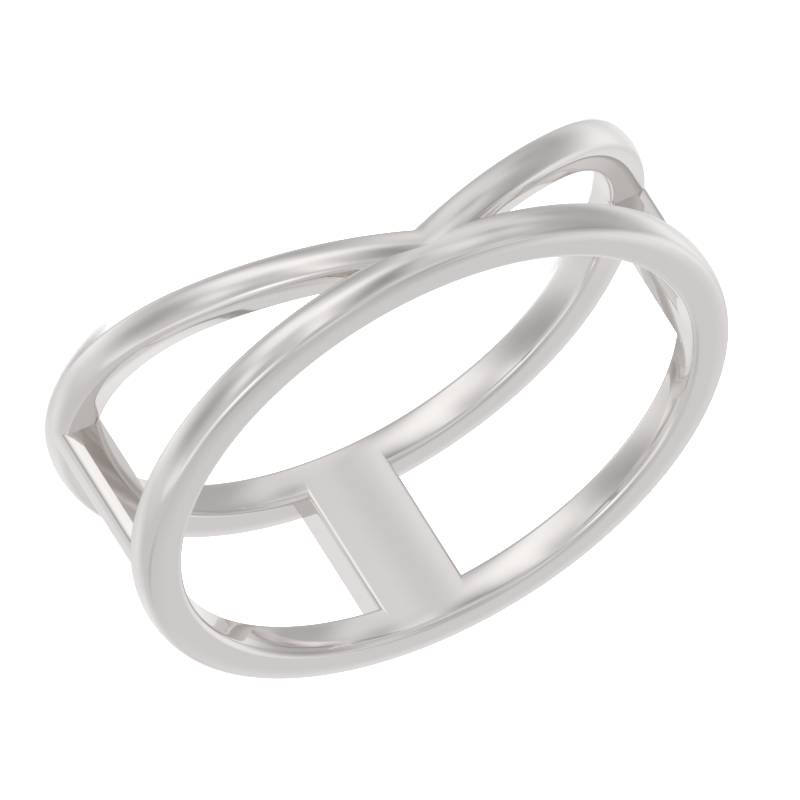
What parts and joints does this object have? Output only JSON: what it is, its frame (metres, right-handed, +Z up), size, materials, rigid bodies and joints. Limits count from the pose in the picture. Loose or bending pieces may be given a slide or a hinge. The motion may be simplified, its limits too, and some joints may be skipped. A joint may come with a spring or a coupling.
{
  "type": "crossover finger ring",
  "caption": "Open finger ring in white metal: a plain rail and a swept rail cross at the front and are held apart by upright bars at the back and sides.",
  "frame": {"origin": "middle of the ring's footprint on the surface that it lies on", "axes": "+Z up from the surface, -Y towards the crossing, +X across the ring; the finger hole's axis leans 8.4 degrees from +Z towards -Y"},
  "size_m": [0.02, 0.0206, 0.0082],
  "materials": {
    "white_metal": "polished white precious metal"
  },
  "bodies": {
    "root": {"ring": "white_metal"}
  },
  "joints": []
}
